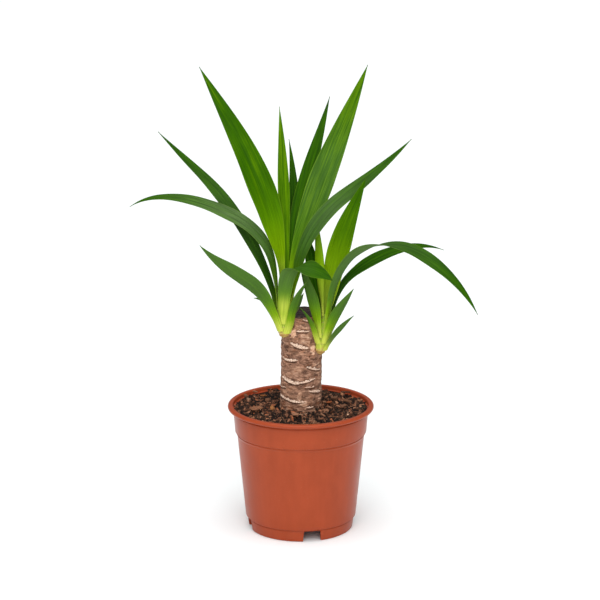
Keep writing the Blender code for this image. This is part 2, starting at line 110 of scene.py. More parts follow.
# The fields up to fold are the solids' own, but four sheaths are wider here, to hide the stems. pale
# is how far up from the root the blade stays yellow-green, tone goes from -1 for dark blue-green to 1
# for light yellow-green, cream is how pale a band is about half-way through that stretch, and the last
# field is how grey-green the grown blade is: partly a waxy bloom, partly a painted sheen.
Leaf = namedtuple("Leaf", "name shoot height root length width sheath lean bearing face broad fold "
                          "pale tone cream bloom", defaults=(0.5, 0.02, 30, 0.0, 0.0, 0.0))
LEAVES = [
    Leaf("left_leaf_01", LEFT, 30, 170, 243, 27, 8, (4, 12, 24, 31, 32),
         (60, 165, 160, 160, 160), (115, 100, 100), 0.45, pale=95, tone=0.15),
    Leaf("left_leaf_02", LEFT, 9, 155, 226, 16, 8, (6, 26, 38, 52, 51), (160, 152), (140, 135, 135),
         pale=28, tone=-0.3, bloom=0.05),
    Leaf("left_leaf_03", LEFT, 12, 188, 227, 15.5, 10, (2, 3, 6, 12, 30, 50, 64, 69, 75, 84, 93, 108, 125),
         (176, 162), (150, 138, 138, 140), pale=55, tone=-0.15, bloom=0.15),
    Leaf("left_leaf_04", LEFT, 0, 217, 122, 18.5, 11, (15, 27, 53, 54, 42), (200, 190), (235, 250, 250),
         pale=38, tone=-0.1),
    Leaf("left_leaf_05", LEFT, 3, 170, 42, 6.5, 4, (13, 15, 17, 74, 86), (198, 172), (210, 240, 250), 0.6,
         pale=12, tone=-0.4),
    Leaf("left_leaf_06", LEFT, 21, 95, 196, 11.5, 7, (4, 9, 10, 10, 10), (70, 92, 104, 112), (90, 90), 0.6,
         pale=5, tone=0.7),
    Leaf("left_leaf_07", LEFT, 13, 105, 174, 13, 6, (6, 14, 18, 18, 18, 18),
         (55, 52, 68, 84, 104, 118), (90, 90), pale=20, tone=-0.3),
    Leaf("left_leaf_08", LEFT, 18, 45, 216, 18, 7, (5, 13, 22, 29, 25), (59, 54), (80, 80),
         pale=30, tone=-0.2),
    Leaf("left_leaf_09", LEFT, 29, 36, 242, 26, 6, (9, 20, 22, 24, 23), (36, 24, 20, 20), (65, 80, 90, 90),
         pale=60, tone=0.45, bloom=0.06),
    Leaf("left_leaf_10", LEFT, 16, 340, 221, 17, 11, (11, 8, 32, 57, 56, 50),
         (345, 350, 375, 385, 385), (395, 412, 415, 415, 415), pale=50, tone=-0.25, bloom=0.09),
    Leaf("left_leaf_11", LEFT, 8, 256, 108, 19, 10, (6, 6, 7, 11, 34, 74, 100, 108, 130),
         (310, 310, 322, 345), (266, 269, 275, 292, 352, 400, 428, 435), 0.74,
         pale=38, tone=-0.1, cream=0.45, bloom=0.05),
    Leaf("left_leaf_12", LEFT, -2.2, 311, 58, 9.5, 11, (8, 11, 25, 36), (345, 350), (306, 312),
         pale=30, tone=0.0),
    Leaf("left_leaf_13", LEFT, 9, 340, 31, 9, 5, (8, 26, 32, 26), (385, 370), (310, 300, 300),
         pale=10, tone=-0.6),
    Leaf("right_leaf_01", RIGHT, 28, 50, 149, 22, 12, (9, 7, 16, 22, 26), (360, 350, 340, 330), (90, 90),
         pale=100, tone=0.3),
    Leaf("right_leaf_02", RIGHT, 16, 330, 239, 19, 11, (6, 11, 40, 84, 119, 136, 153), (315, 335, 350, 350),
         (330, 325, 322, 324, 348, 386, 406, 415, 420, 420), pale=45, tone=-0.25, bloom=0.05),
    Leaf("right_leaf_03", RIGHT, 12, 32, 165, 14.5, 7, (6, 17, 52, 68, 84, 114), (17, 12),
         (28, 22, 44, 42, 20), pale=30, tone=-0.5),
    Leaf("right_leaf_04", RIGHT, 5, 310, 64, 13, 10, (8, 22, 34, 34), (345, 345), (305, 295),
         pale=34, tone=-0.2),
    Leaf("right_leaf_05", RIGHT, -2.2, 330, 46, 7.5, 9, (14, 36, 42, 50), (345, 352), (315, 300, 290),
         pale=10, tone=-0.3),
    Leaf("right_leaf_06", RIGHT, 5, 222, 41, 7, 9, (8, 17, 30, 44), (190, 190), (225, 220),
         pale=26, tone=-0.2),
    Leaf("right_leaf_07", RIGHT, 11, 235, 77, 13, 6, (3, 12, 21, 22), (165, 158), (240, 250),
         pale=40, tone=-0.3),
    Leaf("right_leaf_08", RIGHT, 22, 158, 98, 16, 5, (0, 7, 14, 17, 18), (150, 128), (115, 110),
         pale=18, tone=-0.6),
    Leaf("right_leaf_09", RIGHT, 32, 205, 100, 10.5, 4.5, (3, 4, 3, 8, 12), (165, 110), (235, 262),
         pale=110, tone=0.7),
]
STEM_TIP_RADIUS = 0.5
STEM_SEGMENTS = 64
STEM_RINGS = 130
SHEATH_SPACING = 5.2          # between the rims of the sheaths round a stem
SEAT_STEP = 213.0             # height where a stem's seat steps out, to clear the wax
SEAT_SEGMENTS = 96
SEAL_CLEARANCE = 1.5
LEAF_THICKNESS = 1.0
TIP_THICKNESS = 0.6
LEAF_EDGE = 0.25
TIP_WIDTH = 0.6
TAPER = 1.45
CLASP_END = 0.3
SPINE_STEPS = 240
EASING = 27                   # spine steps over which a change of lean is smoothed
LEAF_COLUMNS = 15
RING_SPACING = 2.4            # along a blade
FEWEST_RINGS = 24
PLEAT = 0.14                  # height of the lengthwise pleats
RIPPLE = 0.35                 # height of the wave along a blade's edges
RIPPLE_LENGTHS = (38, 60)     # shortest and longest wave
MIDRIB_FOLD = 0.6             # how far the blade dips to its midrib
FULL_RELIEF_WIDTH = 20        # a blade this wide has that much relief, and a narrower one less
HEEL_FADE = 10.0              # how far up from its root a blade is pale yellow
HEEL_PALENESS = 0.55
CREAM_MIDDLE = 0.48           # of the cream band, as a share of pale
CREAM_SPREAD = 0.22
BLOOM_AND_SHEEN_SPREAD = 0.25           # of the bloom and painted sheen about the middle, as a share of the length
TIP_STAIN = 5                 # length of the stained tip
LEAF_SEED = 100

# ---------------------------------------- bark

# A pale leaf scar runs through points given as (turn, height), and a patch is a scab of dry bark.
Scar = namedtuple("Scar", "points thickness paleness")
SCARS = [
    Scar(((-2, 218.4), (16, 216.6), (36, 213.8)), 1.5, 1.0),
    Scar(((-17, 205.8), (3, 206.2), (22, 205.6)), 1.7, 1.0),
    Scar(((-34, 194.0), (-20, 191.6), (-8, 190.4), (19, 188.5)), 3.2, 1.0),
    Scar(((-68, 178.4), (-54, 175.6), (-34, 175.6), (-10, 176.6)), 2.3, 0.9),
    Scar(((14, 169.8), (41, 166.2), (66, 164.6)), 2.0, 0.9),
    Scar(((-66, 157.6), (-41, 155.0), (-16, 153.0), (4, 154.0)), 3.2, 1.0),
    Scar(((-6, 153.6), (14, 154.6), (31, 156.0), (43, 157.8)), 1.8, 0.95),
    Scar(((8, 149.0), (28, 148.6), (42, 149.2)), 1.4, 0.55),
    Scar(((23, 144.8), (45, 143.4), (66, 142.2)), 2.4, 1.0),
    Scar(((-88, 145.8), (-66, 146.4), (-46, 147.6)), 1.3, 0.6),
    Scar(((-86, 137.6), (-47, 136.2), (-14, 133.8), (14, 134.8)), 2.2, 0.9),
    Scar(((14, 128.4), (26, 127.6), (38, 128.6)), 1.3, 0.6),
    Scar(((75, 202.0), (92, 200.2), (116, 199.6), (142, 202.6)), 2.4, 0.9),
    Scar(((150, 208.6), (168, 206.4), (186, 206.2), (205, 208.0)), 2.0, 0.8),
    Scar(((200, 194.0), (226, 191.2), (246, 190.6), (268, 191.4)), 2.8, 1.0),
    Scar(((118, 182.0), (142, 179.8), (168, 179.4), (196, 181.6)), 3.0, 1.0),
    Scar(((205, 171.0), (226, 169.4), (246, 169.2), (262, 169.8)), 2.0, 0.8),
    Scar(((96, 157.0), (118, 155.4), (142, 156.0), (168, 158.6)), 2.6, 0.9),
    Scar(((176, 150.4), (200, 147.8), (226, 147.4), (248, 149.0)), 2.8, 1.0),
    Scar(((96, 138.6), (118, 137.4), (138, 137.6), (160, 139.8)), 2.2, 0.8),
    Scar(((188, 133.0), (206, 131.8), (222, 131.6), (240, 132.4)), 2.0, 0.7),
]
Patch = namedtuple("Patch", "turn height half_turn half_height proud paleness")
PATCHES = [
    Patch(-26, 203.5, 10, 5.6, 0.9, 1.0),
    Patch(33, 187.0, 8, 5.4, 1.3, 1.0),
    Patch(9, 198.0, 15, 6.5, 0.15, 0.4),
    Patch(-3, 139.5, 8, 5.0, 0.35, 0.45),
    Patch(10, 131.5, 10, 3.0, 0.4, 0.6),
    Patch(-12, 165.0, 16, 5.0, 0.0, 0.25),
    Patch(170, 198.0, 16, 5.0, 0.3, 0.35),
    Patch(215, 160.0, 12, 5.0, 0.3, 0.4),
]
CANE_SEGMENTS = 288
CANE_SPACING = 0.5
BURIED_LEVEL = 100.0          # one ring here is enough for the buried part
RELIEF_BOTTOM = 112.0         # above here the rings are CANE_SPACING apart
BARK_RELIEF = 0.6             # depth of the wrinkles
SWELLING = 0.45
PITTING = 0.16
BARK_LIP = 220.1              # top of the bark that stands up round the seal
SCAR_LIP = 0.55               # how far a scar's lower edge stands out
SCAR_RISE = 0.15
CRACK_DEPTH = 0.4
SCAR_SMOOTHING = (-10, -6, -2, 2, 6, 10)    # turns either side over which a scar's path is averaged
SEAL_SEGMENTS = 120
SEAL_RINGS = 26

# ---------------------------------------- soil

# Each chip's x and y, length, width and thickness, bearing, and colour.
CHIPS = [
    (-46, 37, 7, 5, 3.5, 20, (186, 134, 104)),
    (-55, 24, 6, 4, 3.0, 75, (126, 84, 62)),
    (-37, 29, 8, 5, 3.5, 10, (168, 104, 58)),
    (-33, 17, 7, 5, 3.0, 120, (112, 72, 50)),
    (-44, -14, 13, 8, 3.5, 165, (138, 90, 64)),
    (-28, -13, 8, 5, 3.5, 40, (168, 110, 62)),
    (-5, -34, 12, 9, 4.5, 15, (170, 120, 92)),
    (28, 7, 8, 5, 3.5, 30, (198, 112, 68)),
    (34, 23, 10, 6, 3.5, 5, (104, 68, 48)),
    (46, 36, 11, 7, 3.5, 150, (84, 54, 40)),
    (42, -5, 9, 7, 3.5, 60, (118, 78, 56)),
    (47, 12, 12, 3, 2.5, 140, (110, 72, 50)),
]
SOIL_SEGMENTS = 400
SOIL_RINGS = 62
SOIL_BANK = 5.0               # how much higher the loose soil lies at the pot's wall than the solid
BANK_CURVE = 1.5
SOCKET_LAP = 1.2              # how far the soil goes into the cane, so that no gap shows
CLOD_SIZE = 5.6
CLOD_HEIGHT = 2.6
CLOD_GAP = 0.22               # width of the gaps, as a share of a clod's size
SMALL_CLODS = 0.42            # size of the small clods, as a share of the large ones
CRUMB_COUNT = 1500
CRUMB_MARGINS = (1.5, 3.2)    # left bare at the cane and at the pot
CRUMB_SMALLEST = 0.6
CRUMB_SPAN = 1.7              # from the smallest crumb to the largest
CRUMB_SKEW = 2.6              # above 1, so that most crumbs are small
CRUMB_DETAILED = 1.7          # crumbs over this size have more faces
CRUMB_ROUGHNESS = 0.34
CRUMB_SHAPE = (1.7, (0.45, 0.85), (0.2, 0.5))    # length, range of widths and range of thicknesses
# The share of the crumbs that has each colour.
CRUMB_TINTS = [
    (0.34, (30, 18, 13)), (0.26, (72, 44, 31)), (0.19, (128, 82, 60)), (0.14, (182, 128, 98)),
    (0.04, (198, 116, 76)), (0.03, (214, 172, 142)),
]
FIBRE_COUNT = 90
FIBRE_LENGTHS = (4, 11)
FIBRE_THICKNESSES = (0.2, 0.42)
FIBRE_GIRTHS = (0.5, 0.9, 1.0, 1.0, 0.8, 0.4)    # from end to end, as shares of the thickness
SEED = 11

# ---------------------------------------- studio, in metres and watts

FLOOR_REACH = 15.0
FLOOR_DROP = 0.0002
SKY_STRENGTH = 0.26
SUN_STRENGTH = 2.65
SUN_SPREAD = 80               # degrees across, for very soft shadows
SUN_TILT = 13                 # degrees from straight down
BOX_PLACE = (-0.05, -2.2, 1.35)
BOX_AIM = (0.0, 0.0, 0.2)
BOX_SIZE = 1.7
BOX_POWER = 28
CAMERA_PLACE = (-0.00076, -2.16, 0.787)
CAMERA_DIP = 14.4             # degrees below level
CAMERA_LENS = 136.4           # millimetres, on a sensor 36 wide


# ---------------------------------------- meshes

# In the map for baking, the sides fill the sheet above a strip, and the two ends are small discs in it.
MAP_STRIP = 0.03
MAP_DISC = 0.01
MAP_FIRST_END = (0.25, 0.012)
MAP_LAST_END = (0.75, 0.012)
ROUNDING_LIMIT = 0.45         # largest share of a side that a rounded corner takes


def add_object(name, data):
    made = bpy.data.objects.new(name, data)
    bpy.context.scene.collection.objects.link(made)
    return made


def mesh_piece(name, points, faces, finish, node, sharp, attributes=None, uvs=None):
    """A finished piece from points in millimetres, in place of a CAD node if one is named.

    Edges that bend by more than sharp degrees stay sharp. attributes are values at the points.
    """
    mesh = bpy.data.meshes.new(name)
    mesh.from_pydata((np.asarray(points) * MM).tolist(), [], faces)
    for label, values in (attributes or {}).items():
        values = np.asarray(values, dtype=np.float32)
        kind, field = ("FLOAT_VECTOR", "vector") if values.ndim == 2 else ("FLOAT", "value")
        mesh.attributes.new(label, kind, "POINT").data.foreach_set(field, values.ravel())
    if uvs is not None:
        layer = mesh.uv_layers.new(name="OFBake")
        layer.uv.foreach_set("vector", np.asarray(uvs, dtype=np.float32).ravel())
    mesh.shade_smooth()
    mesh.set_sharp_from_angle(angle=math.radians(sharp))
    mesh.materials.append(finish)
    piece = add_object(name, mesh)
    if node:
        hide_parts(node)
    return piece


def full_turn(count):
    """Equally spaced angles all the way round, in radians."""
    return np.arange(count) * 2 * math.pi / count


def loft_faces(levels, count):
    """Faces of one closed body through a stack of rings, with a map for baking: quads, then two ends."""
    faces = []
    for low in range(0, (levels - 1) * count, count):
        for i in range(count):
            j = (i + 1) % count
            faces.append((low + i, low + j, low + count + j, low + count + i))
    last = (levels - 1) * count
    faces.append(tuple(reversed(range(count))))
    faces.append(tuple(range(last, last + count)))

    share = np.arange(count + 1) / count
    u = np.stack([share[:-1], share[1:], share[1:], share[:-1]], axis=1)
    rows = MAP_STRIP + (1 - MAP_STRIP) * np.arange(levels) / (levels - 1)
    uvs = [np.stack([u, np.broadcast_to([low, low, high, high], u.shape)], axis=2).reshape(-1, 2)
           for low, high in zip(rows, rows[1:])]
    turns = full_turn(count)
    disc = MAP_DISC * np.stack([np.cos(turns), np.sin(turns)], axis=1)
    uvs += [disc[::-1] + MAP_FIRST_END, disc + MAP_LAST_END]
    return faces, np.concatenate(uvs)


def loft_piece(name, rings, finish, node, sharp, attributes=None):
    faces, uvs = loft_faces(len(rings), len(rings[0]))
    return mesh_piece(name, np.concatenate(rings), faces, finish, node, sharp, attributes, uvs)


def ring(radius, z, count, x=0.0, y=0.0):
    """A level ring of that many points. The radius and the height can differ from point to point."""
    turns = full_turn(count)
    points = [x + radius * np.cos(turns), y + radius * np.sin(turns), np.broadcast_to(z, count)]
    return np.stack(points, axis=1)


def cutter(name, rings):
    """A closed body that is only used to cut with."""
    mesh = bpy.data.meshes.new(name)
    mesh.from_pydata((np.concatenate(rings) * MM).tolist(), [], loft_faces(len(rings), len(rings[0]))[0])
    return add_object(name, mesh)


def cut_away(piece, cutters):
    """Takes the cutters out of the piece, and removes them."""
    bpy.context.view_layer.objects.active = piece
    for body in cutters:
        boolean = piece.modifiers.new(body.name, "BOOLEAN")
        boolean.operation = "DIFFERENCE"
        boolean.solver = "EXACT"
        boolean.object = body
        bpy.ops.object.modifier_apply(modifier=boolean.name)
        bpy.data.objects.remove(body, do_unlink=True)


def fractal(points, scale, octaves=3, offset=0.0):
    """Smooth noise about -1 to 1 at each point. scale is one over the size of its features, in mm."""
    places = np.asarray(points) * np.asarray(scale) + offset
    return np.array([noise.fractal(Vector(place), 1.0, 2.0, octaves) for place in places])


def smooth_step(low, high, values):
    share = np.clip((values - low) / (high - low), 0, 1)
    return share * share * (3 - 2 * share)


def bell(offset, width):
    """1 where the offset is 0, falling smoothly towards 0 over about that width."""
    return np.exp(-(offset / width) ** 2)


def rounded(outline, steps=4):
    """A profile of (radius, height, rounding) as points, with each corner rounded by that much."""
    path = []
    for i, (radius, height, rounding) in enumerate(outline):
        corner = np.array([radius, height])
        if rounding == 0 or i in (0, len(outline) - 1):
            path.append(corner)
            continue
        before = np.array(outline[i - 1][:2]) - corner
        after = np.array(outline[i + 1][:2]) - corner
        start = corner + before * min(rounding / np.linalg.norm(before), ROUNDING_LIMIT)
        end = corner + after * min(rounding / np.linalg.norm(after), ROUNDING_LIMIT)
        for t in np.linspace(0, 1, steps + 1):
            path.append((1 - t) ** 2 * start + 2 * t * (1 - t) * corner + t ** 2 * end)
    return path


# ---------------------------------------- materials

def srgb(red, green, blue):
    """A screen colour, 0 to 255, as a linear RGBA."""
    values = np.array([red, green, blue]) / 255
    linear = np.where(values <= 0.04045, values / 12.92, ((values + 0.055) / 1.055) ** 2.4)
    return (*linear.tolist(), 1.0)


class Finish:
    """A node-based material being put together."""

    def __init__(self, name, specular):
        self.material = bpy.data.materials.new(name)
        self.material.use_nodes = True
        self.tree = self.material.node_tree
        self.shader = self.tree.nodes["Principled BSDF"]
        self.shader.inputs["Specular IOR Level"].default_value = specular

    def feed(self, socket, value):
        """Links an output, or sets a plain value."""
        if isinstance(value, bpy.types.NodeSocket):
            self.tree.links.new(value, socket)
        else:
            socket.default_value = value

    def node(self, kind, inputs=None, **settings):
        """A new node with these settings, and with these values or outputs fed to its sockets."""
        made = self.tree.nodes.new("ShaderNode" + kind)
        for key, value in settings.items():
            setattr(made, key, value)
        for socket, value in (inputs or {}).items():
            self.feed(made.inputs[socket], value)
        return made

    def scaled(self, vector, scale):
        return self.node("Mapping", {"Vector": vector, "Scale": scale}).outputs["Vector"]

    def millimetres(self, stretch=(1, 1, 1)):
        """Object coordinates in millimetres, divided by stretch."""
        return self.scaled(self.node("TexCoord").outputs["Object"], [1 / MM / s for s in stretch])

    def attribute(self, name, output="Fac"):
        return self.node("Attribute", attribute_name=name).outputs[output]

    def noise(self, vector, scale=1.0, detail=3.0, roughness=0.55, distortion=0.0):
        return self.node("TexNoise", {
            "Vector": vector, "Scale": scale, "Detail": detail,
            "Roughness": roughness, "Distortion": distortion,
        }).outputs["Fac"]

    def spread(self, value, low, high, to_low=0.0, to_high=1.0):
        """The value eased from one range to another, and kept within it."""
        return self.node("MapRange", {
            "Value": value, "From Min": low, "From Max": high, "To Min": to_low, "To Max": to_high,
        }, interpolation_type="SMOOTHSTEP").outputs["Result"]

    def maths(self, operation, first, second):
        return self.node("Math", {0: first, 1: second}, operation=operation).outputs["Value"]

    def blend(self, factor, first, second, mode="MIX"):
        """Two colours mixed. A Mix node's sockets share names, so they go by number."""
        return self.node("Mix", {0: factor, 6: first, 7: second},
                         data_type="RGBA", blend_type=mode, clamp_factor=True).outputs[2]

    def stain(self, colour, tint, mask, low, high, most=1.0, mode="MIX"):
        """The colour, tinted up to that much as the mask goes from low to high."""
        return self.blend(self.spread(mask, low, high, 0.0, most), colour, srgb(*tint), mode)

    def ramp(self, factor, *stops):
        """A colour ramp through stops of (place, red, green, blue)."""
        made = self.node("ValToRGB", {"Fac": factor})
        elements = made.color_ramp.elements
        while len(elements) < len(stops):
            elements.new(0.5)
        for element, (place, *colour) in zip(elements, stops):
            element.position = place
            element.color = srgb(*colour)
        return made.outputs["Color"]

    def bump(self, height, depth, strength, under=None):
        """Relief of that depth in millimetres, over another bump if one is given."""
        made = self.node("Bump", {"Strength": strength, "Distance": depth * MM, "Height": height})
        if under is not None:
            self.feed(made.inputs["Normal"], under)
        return made.outputs["Normal"]

    def finish(self, colour, roughness, normal=None):
        self.feed(self.shader.inputs["Base Color"], colour)
        self.feed(self.shader.inputs["Roughness"], roughness)
        if normal is not None:
            self.feed(self.shader.inputs["Normal"], normal)
        return self.material


def leaf_finish():
    """Green blades: yellow-green and cream towards the root, streaked lengthwise, with pale margins, and a
    grey-green painted sheen along the middle of some blades and on the back faces.
    """
    look = Finish("leaf_green", specular=0.02)
    blade = look.attribute("blade", "Vector")
    youth = look.attribute("youth")
    streaks = look.noise(look.scaled(blade, (0.55, 0.012, 1.0)))
    veins = look.noise(look.scaled(blade, (2.6, 0.03, 1.0)), detail=2.0)
    mottle = look.noise(look.scaled(blade, (0.12, 0.035, 1.0)), detail=2.0)

    tone = look.maths("ADD", look.attribute("tone"), look.spread(mottle, 0.3, 0.7, -0.15, 0.15))
    tone = look.maths("ADD", tone, look.spread(streaks, 0.3, 0.7, -0.4, 0.4))
    green = look.ramp(look.spread(tone, -1.6, 1.6),
                      (0.0, 19, 56, 4), (0.35, 42, 84, 4), (0.62, 55, 100, 0), (1.0, 98, 139, 2))
    young = look.ramp(youth, (0.0, 60, 105, 0), (0.45, 92, 138, 2), (0.8, 128, 168, 8), (1.0, 170, 194, 56))
    colour = look.blend(look.spread(youth, 0.0, 0.85), green, young)
    colour = look.blend(look.attribute("cream"), colour, srgb(232, 230, 104))
    colour = look.stain(colour, (52, 100, 14), veins, 0.35, 0.7, 0.4, "MULTIPLY")
    # painted sheen: grey-green blended along the middle of the blade, partly a waxy bloom
    bloom = look.maths("MULTIPLY", look.attribute("bloom"), look.spread(veins, 0.3, 0.7, 1.5, 0.5))
    colour = look.blend(bloom, colour, srgb(160, 176, 132))
    # the back faces are greyer: partly a paler underside, partly a painted sheen
    back = look.maths("MULTIPLY", look.attribute("back"), look.spread(youth, 1.0, 0.0, 0.0, 0.3))
    colour = look.blend(back, colour, srgb(108, 138, 74))
    colour = look.stain(colour, (150, 178, 60), look.attribute("margin"), 0.92, 1.0, 0.18)
    colour = look.stain(colour, (70, 84, 30), look.attribute("tip"), 0.0, 1.0, 0.5)

    normal = look.bump(streaks, 0.25, 0.35, look.bump(veins, 0.12, 0.55))
    return look.finish(colour, look.spread(streaks, 0.25, 0.75, 0.36, 0.5), normal)


def pot_finish():
    """Moulded terracotta-coloured plastic, semi-gloss, with faint flow marks, scuffs and dust."""
    look = Finish("pot_terracotta_plastic", specular=0.18)
    place = look.millimetres()
    flow = look.noise(look.millimetres((9, 9, 60)))
    cloud = look.noise(look.millimetres((26, 26, 26)))
    speckle = look.noise(place, 0.9, detail=2.0)
    scratches = look.noise(look.millimetres((14, 14, 0.8)), detail=2.0)
    colour = look.ramp(look.spread(flow, 0.25, 0.75), (0.0, 154, 64, 33), (1.0, 162, 68, 36))
    colour = look.stain(colour, (173, 74, 40), cloud, 0.45, 0.7, 0.3)
    colour = look.stain(colour, (196, 128, 98), speckle, 0.66, 0.78, 0.22)
    roughness = look.maths("ADD", look.spread(cloud, 0.3, 0.7, 0.28, 0.38),
                           look.spread(scratches, 0.6, 0.75, 0.0, 0.08))
    grain = look.bump(look.noise(place, 2.2, detail=2.0), 0.05, 0.3)
    return look.finish(colour, roughness, look.bump(flow, 0.5, 0.12, grain))


def soil_finish():
    """Dark damp peat with lighter dry specks, and painted shade that darkens the gaps between the clods."""
    look = Finish("peat", specular=0.25)
    fibres = look.noise(look.millimetres((0.7, 2.2, 1.2)), detail=4.0, roughness=0.7)
    specks = look.noise(look.millimetres(), 0.9, detail=4.0, roughness=0.72)
    shade = look.maths("ADD", look.attribute("shade"), look.spread(fibres, 0.3, 0.7, -0.35, 0.35))
    colour = look.ramp(shade,
                       (0.1, 28, 16, 11), (0.38, 66, 41, 28), (0.66, 132, 84, 60), (1.0, 198, 138, 102))
    colour = look.stain(colour, (140, 102, 74), specks, 0.6, 0.7, 0.7)
    colour = look.stain(colour, (20, 13, 10), specks, 0.44, 0.32, 0.85)
    # painted shade: the gaps between the clods are darkened to near black
    colour = look.stain(colour, (13, 9, 7), look.attribute("gap"), 0.3, 0.95, 0.9)
    return look.finish(colour, look.spread(fibres, 0.3, 0.7, 0.82, 0.97), look.bump(specks, 0.9, 0.8))


def crumb_finish(name):
    """Crumbs, fibres and bark chips, each with a tint of its own."""
    look = Finish(name, specular=0.25)
    grain = look.noise(look.millimetres(), 0.9, detail=4.0, roughness=0.65)
    fibres = look.noise(look.millimetres((1.6, 0.5, 0.35)))
    colour = look.stain(look.attribute("tint", "Color"), (34, 24, 18), grain, 0.55, 0.3, 0.75)
    colour = look.stain(colour, (196, 158, 116), fibres, 0.52, 0.7, 0.35)
    normal = look.bump(fibres, 0.4, 0.5, look.bump(grain, 0.6, 0.7))
    return look.finish(colour, look.spread(fibres, 0.3, 0.7, 0.8, 0.96), normal)


def bark_finish():
    """Grey-brown bark in thin wrinkled bands, with cream leaf scars, tan papery scabs, and painted shade
    darkening the cracks and the deepest wrinkles.
    """
    look = Finish("yucca_bark", specular=0.3)
    bands = look.noise(look.millimetres((6.0, 6.0, 2.8)), detail=5.0, roughness=0.62, distortion=0.7)
    patches = look.noise(look.millimetres((8, 8, 6)))
    zones = look.noise(look.millimetres((34, 34, 9)), detail=2.0)
    grain = look.noise(look.millimetres(), 1.3, detail=4.0, roughness=0.7)
    colour = look.ramp(bands,
                       (0.31, 62, 39, 29), (0.43, 112, 78, 60), (0.54, 156, 113, 90), (0.68, 218, 172, 142))
    colour = look.stain(colour, (184, 138, 110), zones, 0.46, 0.62, 0.4)
    colour = look.stain(colour, (160, 102, 68), patches, 0.54, 0.7, 0.5)
    colour = look.stain(colour, (96, 68, 56), patches, 0.46, 0.3, 0.5)
    colour = look.stain(colour, (146, 92, 62), look.attribute("halo"), 0.3, 1.0, 0.55)
    colour = look.stain(colour, (66, 44, 34), grain, 0.44, 0.3, 0.6)
    # painted shade: the groove under each scar and the deepest wrinkle troughs are darkened
    colour = look.stain(colour, (54, 34, 25), look.attribute("crack_and_shade"), 0.05, 1.0, 0.8)
    scar = look.maths("MULTIPLY", look.attribute("scar"), look.spread(grain, 0.34, 0.54))
    cream = look.ramp(grain, (0.4, 206, 160, 132), (0.6, 246, 224, 204))
    colour = look.blend(look.spread(scar, 0.12, 0.7), colour, cream)
    scab = look.ramp(bands, (0.36, 176, 124, 94), (0.5, 226, 178, 146), (0.66, 240, 204, 176))
    colour = look.blend(look.attribute("scab"), colour, scab)
    normal = look.bump(bands, 1.3, 0.8, look.bump(grain, 0.5, 0.7))
    return look.finish(colour, look.spread(bands, 0.3, 0.7, 0.9, 0.72), normal)


def wax_finish():
    """Near-black wound wax, with a painted purple-brown sheen: lighter colour on its raised lumps."""
    look = Finish("wound_wax", specular=0.22)
    place = look.millimetres()
    lumps = look.noise(place, 0.35, detail=4.0, roughness=0.6)
    grain = look.noise(place, 1.6)
    # painted sheen: the raised lumps are coloured lighter purple-brown over the near-black wax
    colour = look.ramp(lumps, (0.32, 34, 23, 21), (0.55, 58, 42, 38), (0.72, 94, 74, 68))
    normal = look.bump(lumps, 0.8, 0.6, look.bump(grain, 0.25, 0.5))
    return look.finish(colour, look.spread(grain, 0.3, 0.7, 0.5, 0.7), normal)


def stem_finish(name, level):
    """Fleshy young stem: tan at its heel, then cream and yellow-green."""
    look = Finish(name, specular=0.35)
    place = look.millimetres()
    height = look.node("SeparateXYZ", {0: place}).outputs["Z"]
    wobble = look.spread(look.noise(place, 0.35), 0.3, 0.7, -1.6, 1.6)
    above = look.maths("SUBTRACT", look.maths("ADD", height, wobble), level)
    colour = look.ramp(look.spread(above, -8.0, 24.0), (0.0, 170, 118, 66), (0.1, 206, 176, 96),
                       (0.2, 194, 198, 70), (0.4, 180, 202, 60), (1.0, 162, 194, 46))
    colour = look.stain(colour, (188, 176, 96), look.attribute("rim"), 0.0, 1.0, 0.75)
    ribs = look.noise(look.millimetres((0.9, 0.9, 14)), detail=2.0)
    colour = look.stain(colour, (150, 160, 60), ribs, 0.35, 0.65, 0.3, "MULTIPLY")
    return look.finish(colour, 0.48, look.bump(ribs, 0.3, 0.5))


# ---------------------------------------- pot

def arc(radius, z, bend, start, end, count):
    """Points of (radius, height) round a bend, from one angle to another in degrees."""
    return [(radius + bend * math.cos(angle), z + bend * math.sin(angle))
            for angle in np.radians(np.linspace(start, end, count))]


